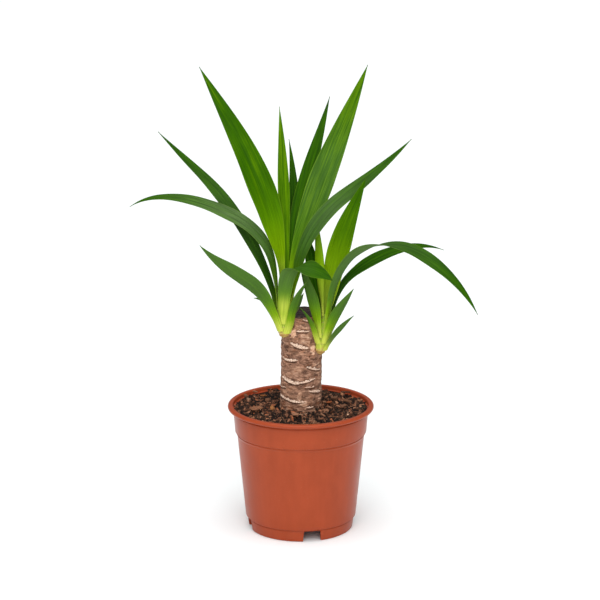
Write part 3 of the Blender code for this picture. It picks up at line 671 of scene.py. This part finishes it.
def pot_profile():
    """From the middle of the floor, up the inside, over the rim and down to the floor's underside."""
    under_rim = POT_HEIGHT - RIM_DEPTH
    bead = RIM_DEPTH / 2
    foot_inside = FOOT_RADIUS - 2 * WALL
    underside = FLOOR_TOP - WALL
    inside = rounded([
        (HUB, FLOOR_TOP, 0),
        (WALL_FOOT_RADIUS - WALL, FLOOR_TOP, 1.5),
        (WALL_TOP_RADIUS - WALL, WALL_TOP, 1.0),
        (COLLAR_FOOT_RADIUS - WALL, COLLAR_FOOT, 1.0),
        (POT_INSIDE, under_rim, 0),
        (RIM_INNER_RADIUS - RIM_LIP - 0.2, under_rim + 0.6, 0),
    ])
    lip = arc(RIM_INNER_RADIUS, POT_HEIGHT - RIM_LIP, RIM_LIP, 160, 90, 8)
    roll = arc(RIM_RADIUS - bead, POT_HEIGHT - bead, bead, 90, -78, 18)
    outside = rounded([
        (COLLAR_TOP_RADIUS + 0.5, under_rim + 0.1, 0),
        (COLLAR_TOP_RADIUS - CREASE, under_rim - 0.4, 0.3),
        (COLLAR_TOP_RADIUS - CREASE, under_rim - 2.2, 0.3),
        (COLLAR_TOP_RADIUS - 0.2, under_rim - 3.0, 0.4),
        (COLLAR_FOOT_RADIUS, COLLAR_FOOT, 0.4),
        (COLLAR_FOOT_RADIUS - 1.4, COLLAR_FOOT - 0.4, 0.2),
        (COLLAR_FOOT_RADIUS - 1.6, COLLAR_FOOT - 1.5, 0.2),
        (COLLAR_FOOT_RADIUS - 1.1, COLLAR_FOOT - 2.1, 0.4),
        (WALL_TOP_RADIUS - 0.1, WALL_TOP - 0.4, 1.2),
        (WALL_FOOT_RADIUS, WALL_FOOT + 0.2, 0.4),
        (FOOT_TOP_RADIUS - 0.3, FOOT_HEIGHT + 0.7, 0.2),
        (FOOT_TOP_RADIUS - 0.4, FOOT_HEIGHT - 0.1, 0.2),
        (FOOT_TOP_RADIUS - 0.1, FOOT_HEIGHT - 0.8, 0.3),
        (FOOT_RADIUS + 0.1, 0.0, 0.9),
        (foot_inside, 0.0, 0.5),
        (foot_inside + 2 * GAP, underside, 0.8),
        (FLOOR_RING_OUTER, underside, 0.6),
        (FLOOR_RING_OUTER - 0.6, underside - 0.6, 0.4),
        (FLOOR_RING_INNER + 0.6, underside - 0.6, 0.4),
        (FLOOR_RING_INNER, underside, 0.6),
        (HUB, underside, 0),
    ])
    return inside + lip + roll + outside


def notch_cutter(turn, number):
    """A block across the foot ring, a little wider at the bottom, with its top corners cut off."""
    outwards = np.array([math.cos(turn), math.sin(turn), 0.0])
    across = np.array([-math.sin(turn), math.cos(turn), 0.0])
    near, far = NOTCH_REACH
    corners = ((near, -0.5), (far, -0.5), (far, 0.5), (near, 0.5))
    levels = ((NOTCH_BOTTOM_WIDTH, -CUT_PAST), (NOTCH_TOP_WIDTH, NOTCH_HEIGHT - NOTCH_CORNER),
              (NOTCH_TOP_WIDTH - 1.6 * NOTCH_CORNER, NOTCH_HEIGHT))
    return cutter(f"notch_{number}", [
        np.array([outwards * reach + across * width * side for reach, side in corners]) + [0, 0, z]
        for width, z in levels])


def make_pot(finish):
    rings = [ring(radius, z, POT_SEGMENTS) for radius, z in pot_profile()]
    pot = loft_piece("pot_shell", rings[::-1], finish, "pot", POT_SHARP)
    cutters = []
    for i in range(NOTCH_COUNT):
        turn = math.radians(NOTCH_FIRST_BEARING + i * 360 / NOTCH_COUNT)
        cutters.append(notch_cutter(turn, i))
        x = DRAIN_DISTANCE * math.cos(turn)
        y = DRAIN_DISTANCE * math.sin(turn)
        hole = [ring(DRAIN_RADIUS, z, DRAIN_SEGMENTS, x, y)
                for z in (FLOOR_TOP - 2 * CUT_PAST, FLOOR_TOP + CUT_PAST)]
        cutters.append(cutter(f"drain_{i}", hole))
    cut_away(pot, cutters)
    pot.data.set_sharp_from_angle(angle=math.radians(POT_SHARP))
    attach(pot, "root")


# ---------------------------------------- soil

def soil_level(radius):
    """The loose soil's general height at a distance from the pot's axis: banked up towards the pot."""
    outer = POT_INSIDE - 2 * GAP
    inner = CANE_RADIUS + GAP
    rise = np.clip((outer - np.asarray(radius, dtype=float)) / (outer - inner), 0, 1)
    return SOIL_EDGE + (SOIL_CROWN - SOIL_EDGE) * rise ** SOIL_CURVE + SOIL_BANK * (1 - rise) ** BANK_CURVE


def clods(places, size):
    """For clods of about that size: how far each place is into a gap, its clod's number, and its tilt."""
    found = np.empty((3, len(places)))
    for i, (x, y) in enumerate(places / size):
        distances, centres = noise.voronoi(Vector((x, y, size)))
        centre = centres[0]
        lean = noise.cell(centre * 5.1 + Vector((9, 4, 2))) * 2 * math.pi
        found[:, i] = (1 - min((distances[1] - distances[0]) / CLOD_GAP, 1), noise.cell(centre * 7.3),
                       (x - centre.x) * math.cos(lean) + (y - centre.y) * math.sin(lean))
    return found


def soil_relief(places):
    """How far the surface stands above or below its general height, the gaps, and the clods' shades."""
    flat = np.column_stack([places, np.zeros(len(places))])
    wobble = np.column_stack([fractal(flat, 0.4, 3, 1.0), fractal(flat, 0.4, 3, 8.0)])
    gap, number, tilt = clods(places + 1.3 * wobble, CLOD_SIZE)
    small_gap, small_number, small_tilt = clods(places + 0.6 * wobble, CLOD_SIZE * SMALL_CLODS)
    height = CLOD_HEIGHT * (0.7 * number + 0.8 * tilt - 0.75 * gap)
    height += 0.35 * CLOD_HEIGHT * (0.6 * small_number + 0.8 * small_tilt - 0.8 * small_gap)
    height += 1.0 * fractal(flat, 0.06, 2) + 0.35 * fractal(flat, 0.8, 3, offset=5.0) - 0.2 * CLOD_HEIGHT
    return height, np.maximum(gap, 0.7 * small_gap), 0.55 * number + 0.45 * small_number


def make_soil(finish):
    """One closed body: over the pot's floor, up its wall, across a crumbly top and down the cane's socket."""
    wall = [(HUB, FLOOR_TOP + GAP), (WALL_FOOT_RADIUS - WALL - 1.0, FLOOR_TOP + GAP),
            (WALL_TOP_RADIUS - WALL - GAP, WALL_TOP), (COLLAR_FOOT_RADIUS - WALL - GAP, COLLAR_FOOT),
            (POT_INSIDE - 2 * GAP, SOIL_EDGE + SOIL_BANK - 1.0)]
    rings = [ring(radius, z, SOIL_SEGMENTS) for radius, z in wall]
    plain = [np.zeros(SOIL_SEGMENTS)]
    gaps = plain * len(wall)
    shades = plain * len(wall)
    for radius in np.linspace(POT_INSIDE + 2 * GAP, CANE_RADIUS - SOCKET_LAP, SOIL_RINGS):
        top = ring(radius, 0.0, SOIL_SEGMENTS)
        height, gap, shade = soil_relief(top[:, :2])
        top[:, 2] = soil_level(radius) + height
        rings.append(top)
        gaps.append(gap)
        shades.append(shade)
    rings.append(ring(CANE_RADIUS - SOCKET_LAP, CANE_BOTTOM - GAP, SOIL_SEGMENTS))
    soil = loft_piece("potting_soil", rings, finish, "soil", 180, {
        # the gaps between the clods, which the finish darkens as painted shade
        "gap": np.concatenate(gaps + plain),
        "shade": np.concatenate(shades + plain),
    })
    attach(soil, "root")


def ball(subdivisions):
    """Points and faces of a unit geodesic ball."""
    shape = bmesh.new()
    bmesh.ops.create_icosphere(shape, subdivisions=subdivisions, radius=1.0)
    points = np.array([v.co[:] for v in shape.verts])
    faces = [tuple(v.index for v in f.verts) for f in shape.faces]
    shape.free()
    return points, faces


def crumb(rng, place, size, base):
    """A lumpy flake, turned at random."""
    points, faces = base
    shape = points * (1 + rng.uniform(-CRUMB_ROUGHNESS, CRUMB_ROUGHNESS, (len(points), 1)))
    long, widths, depths = CRUMB_SHAPE
    shape = shape * (size * np.array([long, rng.uniform(*widths), rng.uniform(*depths)]))
    axis = Vector(rng.normal(size=3)).normalized()
    turned = np.array(Matrix.Rotation(rng.uniform(0, 2 * math.pi), 3, axis))
    return shape @ turned.T + place, faces


def fibre(rng, place):
    """A bent square-sided twig lying on the soil."""
    length = rng.uniform(*FIBRE_LENGTHS)
    thickness = rng.uniform(*FIBRE_THICKNESSES)
    heading = rng.uniform(0, 2 * math.pi)
    bend = rng.uniform(-0.9, 0.9)
    along = np.linspace(-0.5, 0.5, len(FIBRE_GIRTHS))
    angle = heading + bend * along
    path = np.stack([np.cos(angle) * along * length, np.sin(angle) * along * length,
                     0.5 + 0.8 * rng.uniform(-1, 1) * along], axis=1) + place
    across = np.stack([-np.sin(angle), np.cos(angle), np.zeros_like(angle)], axis=1)
    up = np.array([0, 0, 1.0])
    girth = thickness * np.array(FIBRE_GIRTHS)[:, None]
    corners = [path - across * girth, path - up * girth, path + across * girth, path + up * girth]
    return np.stack(corners, axis=1).reshape(-1, 3), loft_faces(len(FIBRE_GIRTHS), len(corners))[0]


def make_crumbs(finish):
    """Loose crumbs and fibres spread evenly over the soil between the cane and the pot, as one piece."""
    rng = np.random.default_rng(SEED)
    total = CRUMB_COUNT + FIBRE_COUNT
    at_cane, at_pot = CRUMB_MARGINS
    inner, outer = CANE_RADIUS + at_cane, POT_INSIDE - at_pot
    radius = np.sqrt(rng.uniform(inner ** 2, outer ** 2, total))
    turn = rng.uniform(0, 2 * math.pi, total)
    places = np.column_stack([radius * np.cos(turn), radius * np.sin(turn)])
    levels = soil_level(np.hypot(places[:, 0], places[:, 1])) + soil_relief(places)[0]
    shares, colours = zip(*CRUMB_TINTS)
    chances = np.array(shares) / np.array(shares).sum()
    small, large = ball(1), ball(2)
    points, faces, tints = [], [], []
    count = 0
    for i, (x, y) in enumerate(places):
        tint = np.array(srgb(*colours[rng.choice(len(shares), p=chances)])[:3])
        if i < CRUMB_COUNT:
            size = CRUMB_SMALLEST + CRUMB_SPAN * rng.random() ** CRUMB_SKEW
            base = large if size > CRUMB_DETAILED else small
            part, part_faces = crumb(rng, (x, y, levels[i] + 0.15 * size), size, base)
        else:
            part, part_faces = fibre(rng, (x, y, levels[i]))
        points.append(part)
        faces += [tuple(v + count for v in face) for face in part_faces]
        tints.append(np.tile(tint * rng.uniform(0.75, 1.25), (len(part), 1)))
        count += len(part)
    crumbs = mesh_piece("peat_crumbs", np.concatenate(points), faces, finish, None, 24,
                        {"tint": np.concatenate(tints)})
    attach(crumbs, "root")


def soil_frame(x, y, bearing):
    """A place on the soil, and there the directions along, across and up."""
    radius = math.hypot(x, y)
    slope = math.atan(float(soil_level(radius + 1) - soil_level(radius)))
    outwards = np.array([x, y, 0.0]) / radius
    downhill = outwards * math.cos(slope) + np.array([0, 0, math.sin(slope)])
    around = np.array([-outwards[1], outwards[0], 0.0])
    up = np.cross(downhill, around)
    turn = math.radians(bearing)
    first = downhill * math.cos(turn) + around * math.sin(turn)
    return np.array([x, y, float(soil_level(radius))]), first, np.cross(up, first), up


def make_chips(finish):
    """Broken bits of bark: flat many-sided flakes with chipped edges, split into layers."""
    rng = np.random.default_rng(SEED + 1)
    points, faces = ball(4)
    heading = np.arctan2(points[:, 1], points[:, 0])
    for number, (x, y, long, wide, thick, bearing, tint) in enumerate(CHIPS, start=1):
        place, first, second, up = soil_frame(x, y, bearing)
        offset = rng.uniform(0, 100)
        sides = (np.arange(6) + rng.uniform(-0.35, 0.35, 6)) * math.pi / 3
        distances = rng.uniform(0.6, 1.0, len(sides))
        facing = np.cos(heading[:, None] - sides[None, :])
        outline = np.min(np.where(facing > 0.05, distances / np.maximum(facing, 0.05), 9.0), axis=1)
        spread = np.hypot(points[:, 0], points[:, 1]) ** 0.55 * np.minimum(outline, 1.25)
        rough = fractal(points, 1.7, 4, offset)
        layers = np.sin(9 * points[:, 2] + 2.2 * rough)
        spread = spread * (1 + 0.2 * rough + 0.07 * layers)
        lift = np.sign(points[:, 2]) * np.abs(points[:, 2]) ** 0.45
        ridges = 0.16 * fractal(points * (0.6, 3.0, 0.6), 1.5, 3, offset)
        slope = 0.6 * spread * np.cos(heading - rng.uniform(0, 2 * math.pi))
        height = lift * 0.5 + ridges + slope
        shape = np.column_stack([spread * np.cos(heading), spread * np.sin(heading), height])
        sizes = np.array([first * long / 2, second * wide / 2, up * thick / 2])
        bank = SOIL_BANK * (math.hypot(x, y) / COLLAR_TOP_RADIUS) ** 3
        body = place + up * (thick / 2 + bank) + shape @ sizes
        name = f"bark_chip_{number:02d}"
        chip = mesh_piece(name + "_split", body, faces, finish, name, 28,
                          {"tint": np.tile(np.array(srgb(*tint)[:3]), (len(points), 1))})
        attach(chip, "root")


# ---------------------------------------- cane and seal

def up_cane(z):
    """How far up the bare cane a height is, from 0 at the soil to 1 at the top."""
    return np.clip((z - SOIL_CROWN) / (CANE_TOP - SOIL_CROWN), 0, 1)


def cane_centre(z):
    return CANE_LEAN * up_cane(z)


def cane_radius(z):
    return CANE_RADIUS + (CANE_TOP_RADIUS - CANE_RADIUS) * up_cane(z)


def turn_from(middle, turn):
    """The signed turn from the middle, from -180 to 180."""
    return (turn - middle + 180) % 360 - 180


def scar_masks(turn, z, ragged):
    """How much of each point is scar, the ridge and the crack along the scars' edges, and their surrounds.
    The crack is cut in, and the finish also darkens it as painted shadow.
    """
    masks = np.zeros((4, len(z)))
    for mark in SCARS:
        turns, heights = np.array(mark.points, dtype=float).T
        middle = (turns[0] + turns[-1]) / 2
        half_span = (turns[-1] - turns[0]) / 2
        nearby = turn_from(middle, turn)
        share = np.clip(1 - (nearby / half_span) ** 2, 0, 1)
        half = mark.thickness / 2 * np.sqrt(share) * np.clip(1 + 0.9 * ragged, 0.2, 2) + 1e-6
        path = [np.interp(nearby + shift, turns - middle, heights) for shift in SCAR_SMOOTHING]
        offset = z - np.mean(path, axis=0) - 0.7 * ragged
        scar = (1 - smooth_step(0.75, 1.15, np.abs(offset) / half)) * mark.paleness * (share > 0)
        fade = smooth_step(0.0, 0.25, share)
        ridge = bell(offset + half * 0.9, 0.9)
        crack_and_shade = np.maximum(bell(offset + half + 1.2, 0.7), 0.9 * bell(offset - half - 0.5, 0.45))
        halo = bell(offset, half + 1.8)
        masks = np.maximum(masks, [scar, fade * ridge, fade * crack_and_shade, fade * halo])
    return masks


def patch_masks(turn, z, ragged):
    """How pale and how proud each point is from the scabs."""
    masks = np.zeros((2, len(z)))
    for patch in PATCHES:
        nearby = turn_from(patch.turn, turn)
        reach = np.hypot(nearby / patch.half_turn, (z - patch.height) / patch.half_height) + 0.45 * ragged
        inside = 1 - smooth_step(0.75, 1.05, reach)
        masks = np.maximum(masks, [inside * patch.paleness, inside * patch.proud])
    return masks


def make_cane(finish):
    """The bark, with its relief and the masks that colour it."""
    relief_levels = np.arange(RELIEF_BOTTOM, BARK_LIP, CANE_SPACING)
    levels = np.concatenate([[CANE_BOTTOM, BURIED_LEVEL], relief_levels, [CANE_TOP, CANE_TOP]])
    turn = np.tile(np.arange(CANE_SEGMENTS) * 360 / CANE_SEGMENTS, len(levels))
    z = np.repeat(levels, CANE_SEGMENTS)
    bearing = np.radians(turn - 90)
    outwards = np.stack([np.cos(bearing), np.sin(bearing), np.zeros_like(z)], axis=1)
    surface = outwards * cane_radius(z)[:, None] + np.stack([cane_centre(z), np.zeros_like(z), z], axis=1)

    ragged = fractal(surface, 0.55, 3, offset=3.0)
    scar, ridge, crack_and_shade, halo = scar_masks(turn, z, ragged)
    scab, proud = patch_masks(turn, z, fractal(surface, 0.4, 2, offset=20.0))
    wrinkles = fractal(surface, (0.18, 0.18, 0.4), 5)
    swelling = fractal(surface, (0.05, 0.05, 0.09), 2, offset=9.0)
    pits = fractal(surface, 1.1, 2, offset=31.0)
    height = BARK_RELIEF * wrinkles + SWELLING * swelling + PITTING * pits
    height += SCAR_LIP * ridge + SCAR_RISE * scar - CRACK_DEPTH * crack_and_shade + proud
    shallow = smooth_step(BARK_LIP, BARK_LIP - 1.6, z)
    height = height * shallow - 0.5 * (1 - shallow)
    height[-2 * CANE_SEGMENTS:] = -2.0
    surface += outwards * height[:, None]

    faces, uvs = loft_faces(len(levels), CANE_SEGMENTS)
    cane = mesh_piece("cane_bark", surface, faces, finish, "cane", 60, {
        "scar": scar,
        # the cracks and the deepest wrinkle troughs, which the finish darkens as painted shade
        "crack_and_shade": np.maximum(crack_and_shade, np.clip(-1.6 * wrinkles - 0.35, 0, 1)),
        "scab": scab,
        "halo": halo,
    }, uvs)
    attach(cane, "root")


def make_seal(finish):
    """A cap of wax over the sawn top: a low raised edge, a hollow middle and a ragged skirt."""
    turns = full_turn(SEAL_SEGMENTS)
    skirt = BARK_LIP - 0.3 - 0.6 * np.sin(3 * turns + 1.0)
    skirt = skirt - 0.4 * np.sin(7 * turns) - 0.4 * np.sin(11 * turns + 2)
    edge = CANE_TOP_RADIUS - 0.1
    low = CANE_TOP + 0.1
    outline = [
        (HUB, low),
        (edge - 2.6, low),
        (edge - 2.4, low + 1.0),
        (edge - 1.2, BARK_LIP - 0.3),
        (edge - 0.1, np.minimum(skirt, BARK_LIP - 0.2)),
        (edge + 0.5, skirt),
        (edge + 0.6, np.minimum(skirt + 0.5, SEAL_TOP + 0.1)),
        (edge - 0.1, np.minimum(skirt + 1.0, SEAL_TOP + 0.1)),
    ]
    rings = [ring(radius, z, SEAL_SEGMENTS, CANE_LEAN) for radius, z in outline]
    for radius in np.linspace(edge - 0.9, HUB, SEAL_RINGS):
        top = ring(radius, 0.0, SEAL_SEGMENTS, CANE_LEAN)
        lumps = fractal(top, 0.28, 3, offset=2.0)
        top[:, 2] = SEAL_TOP - 1.1 + 0.8 * bell(radius - edge + 2.6, 2.2) + 0.55 * lumps
        rings.append(top)
    seal = loft_piece("wound_wax_cap", rings, finish, "wound_seal", 60)
    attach(seal, "root")


# ---------------------------------------- shoots

def stem_radius(shoot, height):
    heights, radii = zip(*STEM_OUTLINE)
    return shoot.size * float(np.interp(height * heights[-1] / shoot.length, heights, radii))


def stem_point(shoot, height):
    return np.array([shoot.x + shoot.lean_x * height, shoot.y, shoot.level + height])


def make_stem(name, shoot, finish):
    """A fleshy stem with the rings of its fallen sheaths, seated against the cane."""
    rings, rims = [], []
    for height in np.linspace(STEM_OUTLINE[0][0], shoot.length, STEM_RINGS):
        x, y, z = stem_point(shoot, height)
        level = ring(max(stem_radius(shoot, height), STEM_TIP_RADIUS), z, STEM_SEGMENTS, x, y)
        sheath = ((height + 1.3 * fractal(level * (1, 1, 0.2), 0.3, 2)) / SHEATH_SPACING) % 1.0
        swell = 1 + 0.06 * fractal(level, 0.25, 2) + 0.09 * sheath ** 3
        level[:, :2] = (x, y) + (level[:, :2] - (x, y)) * swell[:, None]
        rings.append(level)
        rims.append(smooth_step(0.72, 0.98, sheath))
    stem = loft_piece(name + "_flesh", rings, finish, name, 60, {"rim": np.concatenate(rims)})
    seat = [ring(cane_radius(z) + clear, z, SEAT_SEGMENTS, float(cane_centre(z)))
            for z, clear in ((CANE_BOTTOM, GAP), (SEAT_STEP, GAP), (SEAT_STEP + 0.9, SEAL_CLEARANCE),
                             (SEAL_TOP + 10, SEAL_CLEARANCE))]
    cut_away(stem, [cutter(name + "_seat", seat)])
    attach(stem, "root")


# ---------------------------------------- leaves

def eased(values, t):
    """Values in equal steps from root to tip, with their corners smoothed, read at each t from 0 to 1."""
    fine = np.linspace(0, 1, SPINE_STEPS + 1)
    line = np.interp(fine, np.linspace(0, 1, len(values)), values)
    window = np.hanning(EASING + 2)[1:-1]
    padded = np.pad(line, EASING // 2, mode="reflect", reflect_type="odd")
    return np.interp(t, fine, np.convolve(padded, window / window.sum(), mode="valid"))


def unit(vectors):
    return vectors / np.linalg.norm(vectors, axis=-1, keepdims=True)


def read_at(t, rows):
    """Rows in equal steps from root to tip, read at each t from 0 to 1."""
    fine = np.linspace(0, 1, len(rows))
    return np.stack([np.interp(t, fine, column) for column in rows.T], axis=1)


def root_reach(leaf):
    """From the stem's axis to the middle of the blade's root."""
    return stem_radius(leaf.shoot, leaf.height) + GAP + LEAF_THICKNESS / 2


def leaf_spine(leaf, t):
    """Points and directions along the blade's midrib."""
    fine = np.linspace(0, 1, SPINE_STEPS + 1)
    lean = np.radians(eased(leaf.lean, fine))
    bearing = np.radians(eased(leaf.bearing, fine))
    outwards = np.stack([np.cos(bearing), np.sin(bearing)], axis=1)
    headings = np.column_stack([outwards * np.sin(lean)[:, None], np.cos(lean)])
    strides = (headings[1:] + headings[:-1]) / 2 * leaf.length / SPINE_STEPS
    path = np.vstack([np.zeros(3), np.cumsum(strides, axis=0)])
    turn = math.radians(leaf.root)
    outwards_at_root = np.array([math.cos(turn), math.sin(turn), 0.0])
    start = stem_point(leaf.shoot, leaf.height) + root_reach(leaf) * outwards_at_root
    return read_at(t, path) + start, unit(read_at(t, headings))


def leaf_width(leaf, t):
    """Half a clasping base, broadest near the middle, and a long tapering point."""
    base = leaf.sheath / leaf.width
    rise = smooth_step(0, leaf.broad, t)
    taper = np.clip((t - leaf.broad) / (1 - leaf.broad), 0, 1)
    share = (base + (1 - base) * rise) * (1 - taper ** TAPER)
    return np.maximum(leaf.width * share, TIP_WIDTH)


def leaf_surface(leaf, t, across):
    """The blade's middle surface and its normals, for each t and each place across from -1 to 1."""
    points, directions = leaf_spine(leaf, t)
    level = unit(np.cross(directions, (0.0, 1.0, 0.0)))
    lifted = np.cross(directions, level)
    roll = np.radians(eased((leaf.root, *leaf.face), t) - 90.0)[:, None]
    side = level * np.cos(roll) + lifted * np.sin(roll)
    inner = np.cross(directions, side)
    clasp = np.clip(1 - t / CLASP_END, 0, 1) ** 2
    curl = (leaf.fold + clasp / root_reach(leaf))[:, None]
    angle = across[None, :] * leaf_width(leaf, t)[:, None] / 2 * curl
    sideways = (np.sin(angle) / curl)[..., None]
    inwards = ((1 - np.cos(angle)) / curl)[..., None]
    surface = points[:, None, :] + side[:, None, :] * sideways + inner[:, None, :] * inwards
    normals = inner[:, None, :] * np.cos(angle)[..., None] - side[:, None, :] * np.sin(angle)[..., None]
    return surface, normals


def leaf_waves(leaf, t, across, rng):
    """Lengthwise pleats and a slow ripple of the edges, as heights over the middle surface."""
    grown = smooth_step(0.12, 0.4, t) * (1 - smooth_step(0.85, 1.0, t))
    wide = leaf_width(leaf, t) / FULL_RELIEF_WIDTH
    pleats = np.sin(across[None, :] * rng.uniform(6, 9) + rng.uniform(0, 6) + 2 * t[:, None])
    cycles = leaf.length / rng.uniform(*RIPPLE_LENGTHS)
    ripple = np.sin(2 * math.pi * cycles * t + rng.uniform(0, 6))[:, None] * across[None, :] ** 2
    fold = MIDRIB_FOLD * (np.abs(across) - 0.5)[None, :]
    return (PLEAT * pleats + fold + RIPPLE * ripple * np.sign(across)[None, :]) * (grown * wide)[:, None]


def make_leaf(leaf, number, finish):
    """A closed blade, thickest at the midrib, with the places that its finish is painted by."""
    rng = np.random.default_rng(LEAF_SEED + number)
    rings = max(FEWEST_RINGS, round(leaf.length / RING_SPACING))
    t = np.linspace(0, 1, rings)
    across = np.linspace(-1, 1, LEAF_COLUMNS)
    surface, normals = leaf_surface(leaf, t, across)
    surface = surface + normals * leaf_waves(leaf, t, across, rng)[..., None]
    midrib = LEAF_THICKNESS + (TIP_THICKNESS - LEAF_THICKNESS) * t
    thickness = np.maximum(midrib[:, None] * np.sqrt(1 - across ** 2), LEAF_EDGE)
    half = normals * thickness[..., None] / 2
    rows = [np.vstack([lower, upper[::-1]]) for upper, lower in zip(surface + half, surface - half)]

    loop = np.concatenate([across, across[::-1]])
    side = np.tile(loop, rings)
    distance = np.repeat(t * leaf.length, len(loop))
    width = np.repeat(leaf_width(leaf, t), len(loop))
    cream = leaf.cream * bell(distance / leaf.pale - CREAM_MIDDLE, CREAM_SPREAD) * (1 - 0.6 * side ** 2)
    piece = loft_piece(leaf.name + "_blade", rows, finish, leaf.name, 50, {
        "blade": np.stack([side * width / 2, distance, np.full_like(side, 17.0 * number)], axis=1),
        "youth": bell(distance, leaf.pale),
        "cream": np.maximum(cream, HEEL_PALENESS * bell(distance, HEEL_FADE)),
        "bloom": leaf.bloom * bell(distance / leaf.length - 0.5, BLOOM_AND_SHEEN_SPREAD),
        "tone": np.full_like(side, leaf.tone),
        "back": np.tile(np.repeat([1.0, 0.0], LEAF_COLUMNS), rings),
        "margin": np.abs(side),
        "tip": smooth_step(leaf.length - TIP_STAIN, leaf.length, distance),
    })
    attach(piece, "root")


# ---------------------------------------- studio

def make_floor():
    mesh = bpy.data.meshes.new("studio_floor")
    corners = [(x * FLOOR_REACH, y * FLOOR_REACH, 0) for x, y in ((-1, -1), (1, -1), (1, 1), (-1, 1))]
    mesh.from_pydata(corners, [], [(0, 1, 2, 3)])
    mesh.materials.append(Finish("studio_white", specular=0.0).finish((0.95, 0.985, 0.99, 1.0), 0.9))
    floor = add_object("studio_floor", mesh)
    floor.location.z = -FLOOR_DROP


def make_lights():
    """A white sky, one very wide sun above and a square softbox in front."""
    world = bpy.data.worlds.new("studio")
    world.use_nodes = True
    sky = world.node_tree.nodes["Background"]
    sky.inputs["Color"].default_value = (1.0, 1.0, 1.0, 1.0)
    sky.inputs["Strength"].default_value = SKY_STRENGTH
    bpy.context.scene.world = world

    sun = bpy.data.lights.new("overhead", "SUN")
    sun.energy = SUN_STRENGTH
    sun.angle = math.radians(SUN_SPREAD)
    add_object("overhead", sun).rotation_euler = (math.radians(SUN_TILT), 0.0, 0.0)

    box = bpy.data.lights.new("front_box", "AREA")
    box.shape = "RECTANGLE"
    box.size = BOX_SIZE
    box.size_y = BOX_SIZE
    box.energy = BOX_POWER
    front = add_object("front_box", box)
    front.location = BOX_PLACE
    front.rotation_euler = (Vector(BOX_AIM) - Vector(BOX_PLACE)).to_track_quat("-Z", "Y").to_euler()


def make_camera():
    camera = bpy.data.cameras.new("camera")
    camera.lens = CAMERA_LENS
    camera.sensor_width = 36.0
    made = add_object("camera", camera)
    made.location = CAMERA_PLACE
    made.rotation_euler = (math.radians(90 - CAMERA_DIP), 0.0, 0.0)
    bpy.context.scene.camera = made
    bpy.context.scene.view_settings.view_transform = "Standard"


def main():
    make_camera()
    make_floor()
    make_lights()
    make_pot(pot_finish())
    make_soil(soil_finish())
    make_crumbs(crumb_finish("peat_crumb"))
    make_chips(crumb_finish("bark_chip"))
    make_cane(bark_finish())
    make_seal(wax_finish())
    for name, shoot in (("left_shoot", LEFT), ("right_shoot", RIGHT)):
        make_stem(name, shoot, stem_finish(name + "_flesh", shoot.level))
    leaf_green = leaf_finish()
    for number, leaf in enumerate(LEAVES, start=1):
        make_leaf(leaf, number, leaf_green)


main()
